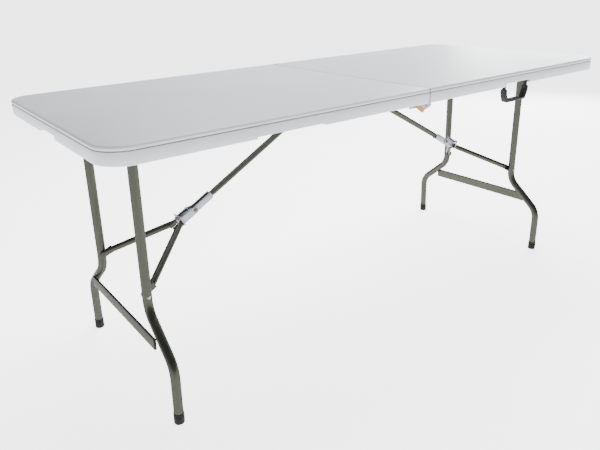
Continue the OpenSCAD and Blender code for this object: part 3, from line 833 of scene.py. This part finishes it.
class TABLE_OT_braces(bpy.types.Operator):
    """Build the arm, fork, channels, knee and lock of both braces"""

    bl_idname = "table.braces"
    bl_label = "Braces"

    channel_length = 0.066
    cheek_in = 0.0094
    cheek_out = 0.0119
    web_out = 0.0145
    leg_face = 0.1457

    def arm_tube(self, sizes):
        """The arm, with its end pressed flat and pointed where it lies in the channel."""
        r = sizes.brace_radius
        start = arm_length - 0.0082
        obj = ring_start("Arm tube", (start, 0, 0), r, 36, (0, math.pi / 2, 0))
        draw_out((self.channel_length + 0.018 - start, 0, 0))
        steps = ((0.012, 0.84, 0.95), (0.010, 0.82, 0.94), (0.020, 0.98, 0.80), (0.010, 1.0, 0.45))
        x = self.channel_length + 0.018
        for run, wide, tall in steps:
            x -= run
            draw_out((-run, 0, 0), (1, wide, tall), (x, 0, 0))
        out_of_edit()
        return obj

    def arm_channel(self):
        """An open-topped pressed channel with a rounded nose."""
        r, half, wall = 0.010, 0.009, 0.0022
        end = self.channel_length
        outline = arc((0, 0), r, 90, 270, 20) + [(end, -r), (end, r)]
        obj = plate("Arm channel", outline, -half, half)
        cut(obj, block(
            "Inner", (-0.02, -half + wall, -r + wall), (end + 0.01, half - wall, 0.03)
        ))
        round_edges(obj, 0.0007, 2)
        return obj

    def fork_channel(self):
        """The fork's channel: two cheeks round the knee, joined by a web along the top."""
        length = 0.058
        r = 0.010
        outline = [(-length, -r)] + arc((0, 0), r, -90, 90, 24)
        outline += [(-0.012, self.web_out), (-length, self.web_out)]
        cheeks = []
        for flip in (1, -1):
            y0, y1 = sorted((flip * self.cheek_in, flip * self.cheek_out))
            cheeks.append(plate("Cheek", outline, y0, y1))
        web = block(
            "Web", (-length, -self.cheek_out, 0.012), (-0.014, self.cheek_out, self.web_out)
        )
        tab = block("Tab", (-0.0165, -0.005, self.web_out - MM), (-0.014, 0.005, 0.0215))
        for piece in (*cheeks, web, tab):
            round_edges(piece, 0.0006, 2)
        return join([*cheeks, web, tab], "Fork channel")

    def fork_tube(self, sizes, fork_length):
        """A tube pressed flat at the channel and at the leg, straight between."""
        face = 0.1482
        r = sizes.brace_radius
        near = Vector((-0.078, 0.0248, 0))
        far = Vector((-fork_length + 0.030, face - r - 0.0012, 0))
        run = far - near
        turn = math.atan2(run.y, run.x)
        start = Vector((-0.054, 0.0151, 0))
        tube = ring_start("Fork tube", start, r, 32, (0, math.pi / 2, turn))
        bpy.ops.transform.resize(value=(1, 0.30, 0.9), center_override=start)
        steps = (
            (Vector((-0.066, 0.0178, 0)), (1, 1.7, 1.04)), (near, (1, 1.96, 1.068)),
            (far, (1, 1, 1)), (far + Vector((-0.012, 0.0040, 0)), (1, 0.7, 1.04)),
            (far + Vector((-0.022, 0.0066, 0)), (1, 0.45, 1.04)),
        )
        here = start
        for there, shape in steps:
            draw_out(there - here, shape, there)
            here = there
        out_of_edit()
        blade_outline = [(-0.084, -0.008), (-0.047, -0.008), (-0.047, 0.008), (-0.084, 0.008)]
        blade = plate("Blade", blade_outline, self.cheek_out, 0.018)
        round_edges(blade, 0.0022, 4)
        ear = arc((-fork_length, 0), r + MM, 90, 270, 20)
        ear += [(-fork_length + 0.034, -r), (-fork_length + 0.034, r)]
        tongue = plate("Tongue", ear, face - 0.004, face)
        round_edges(tongue, 0.0010, 3)
        return join([tube, blade, tongue], "Fork tube")

    def rivet(self, x, y_face, flip):
        """A domed rivet head standing on a cheek."""
        root, rim, waist, tip = (
            (x, flip * (y_face + step), 0) for step in (-0.0005, 0.0012, 0.0010, 0.0027)
        )
        base = rod("Rivet", root, rim, 0.0064, 36)
        dome = rod("Dome", waist, tip, 0.0050, 36, 0.0030)
        for piece in (base, dome):
            round_edges(piece, 0.0005, 3)
        return join([base, dome], "Rivet")

    def spring(self):
        """A close coil of round wire along the web."""
        wire, r = 0.00085, 0.0036
        turns = 8
        start, end = -0.0482, -0.0172
        centre_z = self.web_out + r + wire + 0.0001
        deselect()
        bpy.ops.mesh.primitive_circle_add(
            vertices=10, radius=wire, fill_type="NOTHING", location=(start, 0, centre_z + r),
            rotation=(math.pi / 2, 0, 0),
        )
        obj = named("Lock spring")
        bpy.ops.object.transform_apply(location=True, rotation=True, scale=True)
        self.coil(obj, turns, start, end, centre_z)
        return obj

    def coil(self, obj, turns, start, end, centre_z):
        """Spin the wire's ring round the coil's axis while it advances."""
        into_edit(obj, "EDGE")
        bpy.ops.mesh.select_all(action="SELECT")
        steps = 20 * turns
        bpy.ops.mesh.edge_face_add()
        bpy.ops.mesh.select_mode(type="FACE")
        bpy.ops.mesh.select_all(action="SELECT")
        advance = (end - start) / steps
        bpy.ops.mesh.spin(
            steps=steps, angle=turns * 2 * math.pi, center=(0, 0, centre_z), axis=(1, 0, 0)
        )
        out_of_edit()
        ring = 10
        for index, vertex in enumerate(obj.data.vertices):
            vertex.co.x += advance * (index // ring)

    def lock_plate(self):
        """A sliding plate that straddles the channel."""
        x0, x1 = -0.052, -0.049
        plate_low, plate_high = -0.012, 0.022
        obj = block("Lock plate", (x0, -0.022, plate_low), (x1, 0.022, plate_high))
        into_edit(obj, "EDGE")
        pick(obj, "EDGE", lambda c, d: abs(d.x) > MM and abs(d.y) < 1e-6 and abs(d.z) < 1e-6)
        bpy.ops.mesh.bevel(offset=0.004, segments=5, affect="EDGES")
        out_of_edit()
        cut(obj, block(
            "Window", (x0 - 0.01, -0.0183, plate_low - 0.01), (x1 + 0.01, 0.0183, 0.0148)
        ))
        round_edges(obj, 0.0005, 2)
        return obj

    def execute(self, context):
        sizes = context.scene.table_sizes
        low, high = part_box("left_fork_rivets")
        reach = (low + high) / 2 - Vector((-knee.x, 0, knee.z))
        fork_length = Vector((reach.x, 0, reach.z)).length
        recipes = (
            ("arm main tube", self.arm_tube(sizes), "arm", "leg_paint", "arm_tube"),
            ("arm knee channel", self.arm_channel(), "arm", "zinc_plate", "arm_channel"),
            ("fork knee channel", self.fork_channel(), "fork", "zinc_plate", "fork_channel"),
            ("sliding lock plate", self.lock_plate(), "lock", "zinc_plate", "lock_plate"),
            ("coiled lock spring", self.spring(), "fork", "spring_black", "lock_spring"),
            (
                "fork rear tube", self.fork_tube(sizes, fork_length),
                "fork", "leg_paint", "fork_back_tube",
            ),
        )
        for side, sign in SIDES:
            place = brace_place(sign)
            for name, source, body, slot, node in recipes:
                piece = settle(copy_of(source, f"{side.title()} {name}"), place)
                fit(piece, f"{side}_{body}", finish(slot), slot, f"{side}_{node}")
                if node == "lock_spring":
                    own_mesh(piece)
                if node == "fork_back_tube":
                    front = settle(mirrored(source, f"{side.title()} fork near tube", 1), place)
                    fit(front, f"{side}_{body}", finish(slot), slot, f"{side}_fork_front_tube")
            for flip, word in ((1, "back"), (-1, "front")):
                knee_head = settle(self.rivet(0, self.cheek_out + 0.0003, flip), place)
                rename(knee_head, f"{side.title()} knee rivet {word}")
                fit(knee_head, side + "_arm", finish("rivets"), "zinc_plate", side + "_knee_rivet")
                flipped = place @ Matrix.Diagonal((1, flip, 1, 1))
                leg_head = settle(self.rivet(-fork_length, self.leg_face, -1), flipped)
                rename(leg_head, f"{side.title()} fork rivet {word}")
                fit(leg_head, side + "_fork", finish("rivets"), "zinc_plate", side + "_fork_rivets")
            pin = settle(rod("Knee pin", (0, -0.0125, 0), (0, 0.0125, 0), 0.0034, 32), place)
            rename(pin, side.title() + " knee pin")
            fit(pin, side + "_arm", finish("rivets"), "zinc_plate")
        for name, source, *_ in recipes:
            bpy.data.objects.remove(source)
        return {"FINISHED"}


# ---------- handle and latch ----------


class TABLE_OT_handle(bpy.types.Operator):
    """Mould the carrying handle and dip the latch grip"""

    bl_idname = "table.handle"
    bl_label = "Handle and latch"

    def strap(self):
        """The handle, drawn out from one pivot, round the grip and up to the other."""
        outer = [(59, 5), (60, -7), (61, -17), (59, -30), (52, -48), (46, -54)]
        inner = [(51, 5), (52, -7), (52, -16), (50, -28), (44, -42), (40, -45)]
        outline = outer + [(-x, z) for x, z in reversed(outer)]
        outline += [(-x, z) for x, z in inner] + list(reversed(inner))
        outline = [(x * MM, z * MM) for x, z in outline]
        return plate("Carrying handle", outline, -0.0099, 0.0099)

    def narrow(self, obj):
        """Thin the strap near its pivots, so that it swings clear of the skirt."""
        for near, far in ((-0.02, -0.005), (0.005, 0.02)):
            cut(obj, block("Trim", (-0.1, near, -0.013), (0.1, far, 0.02)))

    def grip(self):
        """The vinyl dipped over the latch lever's end, sloping down towards the right."""
        low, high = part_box("latch_grip")
        r, length, slope = 0.006, 0.024, math.radians(-34)
        place = turned_outline(latch_pivot.x - 0.039, latch_pivot.z + 0.0005, slope)
        outline = place(arc((0, 0), r, 90, 270, 14) + arc((length, 0), r, -90, 90, 14))
        return plate("Dipped latch grip", outline, low.y, high.y)

    def execute(self, context):
        handle = self.strap()
        self.narrow(handle)
        round_edges(handle, 0.0018, 4, 30)
        settle(handle, Matrix.Translation(handle_pivot), 40)
        fit(handle, "handle", finish("handle_plastic"), "handle_plastic", "carry_handle")
        grip = self.grip()
        round_edges(grip, 0.0016, 4, 50)
        settle(grip, None, 60)
        fit(grip, "latch", finish("latch_grip"), "latch_grip", "latch_grip")
        return {"FINISHED"}


class TABLE_OT_fittings(bpy.types.Operator):
    """Give the rails, hinges and other plain fittings their finishes"""

    bl_idname = "table.fittings"
    bl_label = "Fittings"

    def execute(self, context):
        slots = {part["node"]: part["material_slot"] for part in frame["record"]["subparts"]}
        for name, node in nodes.items():
            if node.hide_render:
                continue
            node.data.materials.clear()
            node.data.materials.append(finish(slots[name]))
        return {"FINISHED"}


# ---------- stage ----------


def panel_light(name, place, target, size, power, colour=(1, 1, 1)):
    data = bpy.data.lights.new(name, "AREA")
    data.shape = "RECTANGLE"
    data.size, data.size_y = size
    data.energy = power
    data.color = colour
    lamp = bpy.data.objects.new(name, data)
    bpy.context.scene.collection.objects.link(lamp)
    lamp.location = place
    lamp.rotation_euler = (Vector(target) - Vector(place)).to_track_quat("-Z", "Y").to_euler()
    return lamp


class TABLE_OT_stage(bpy.types.Operator):
    """Set out the floor, lights and camera"""

    bl_idname = "table.stage"
    bl_label = "Stage"

    eye = (-1.2225, -1.3985, 1.0220)
    yaw = 53.05
    pitch = -23.0
    roll = -1.70
    lens = 34.3

    def execute(self, context):
        deselect()
        bpy.ops.mesh.primitive_plane_add(size=240, location=(0, 0, 0))
        floor = named("Floor")
        f = Finish("Pale floor")
        f.wear(
            Base_Color=f.blend(f.noise(3.0), (0.86, 0.86, 0.86, 1), (0.9, 0.9, 0.9, 1)), Roughness=0.9,
            Emission_Color=(1, 1, 1, 1), Emission_Strength=3.4, Specular_IOR_Level=0.0,
        )
        floor.data.materials.append(f.material)
        world = context.scene.world or bpy.data.worlds.new("World")
        context.scene.world = world
        world.use_nodes = True
        world.node_tree.nodes["Background"].inputs["Color"].default_value = (1, 1, 1, 1)
        world.node_tree.nodes["Background"].inputs["Strength"].default_value = 0.35
        panel_light("Far softbox", (3.6, 1.4, 1.7), (0.3, 0, 0.7), (1.6, 2.2), 170)
        panel_light("High softbox", (0.9, 1.0, 3.0), (0.2, 0, 0.7), (2.2, 2.0), 190)
        data = bpy.data.cameras.new("Camera")
        data.sensor_width = 36
        data.lens = self.lens
        camera = bpy.data.objects.new("Camera", data)
        context.scene.collection.objects.link(camera)
        y, p, r = (math.radians(v) for v in (self.yaw, self.pitch, self.roll))
        forward = Vector((math.cos(p) * math.cos(y), math.cos(p) * math.sin(y), math.sin(p)))
        right = forward.cross(Vector((0, 0, 1))).normalized()
        up = right.cross(forward)
        right_rolled = right * math.cos(r) + up * math.sin(r)
        up_rolled = up * math.cos(r) - right * math.sin(r)
        rows = [(right_rolled[i], up_rolled[i], -forward[i], self.eye[i]) for i in range(3)]
        camera.matrix_world = Matrix((*rows, (0, 0, 0, 1)))
        context.scene.camera = camera
        return {"FINISHED"}


class TABLE_PT_panel(bpy.types.Panel):
    """The table's steps, in the sidebar"""

    bl_idname = "TABLE_PT_panel"
    bl_label = "Bi-fold table"
    bl_space_type = "VIEW_3D"
    bl_region_type = "UI"
    bl_category = "Table"

    def draw(self, context):
        layout = self.layout
        for group in (context.scene.table_look, context.scene.table_sizes):
            for key in group.__annotations__:
                layout.prop(group, key)
        for operator in OPERATORS:
            layout.operator(operator.bl_idname)


OPERATORS = (
    TABLE_OT_top, TABLE_OT_legs, TABLE_OT_braces, TABLE_OT_handle, TABLE_OT_fittings, TABLE_OT_stage,
)
CLASSES = (TableLook, TableSizes, *OPERATORS, TABLE_PT_panel)


def register():
    for cls in CLASSES:
        bpy.utils.register_class(cls)
    bpy.types.Scene.table_look = bpy.props.PointerProperty(type=TableLook)
    bpy.types.Scene.table_sizes = bpy.props.PointerProperty(type=TableSizes)


def unregister():
    del bpy.types.Scene.table_sizes
    del bpy.types.Scene.table_look
    for cls in reversed(CLASSES):
        bpy.utils.unregister_class(cls)


def main():
    register()
    bpy.ops.table.top()
    bpy.ops.table.legs()
    bpy.ops.table.braces()
    bpy.ops.table.handle()
    bpy.ops.table.fittings()
    bpy.ops.table.stage()


if __name__ == "__main__":
    main()
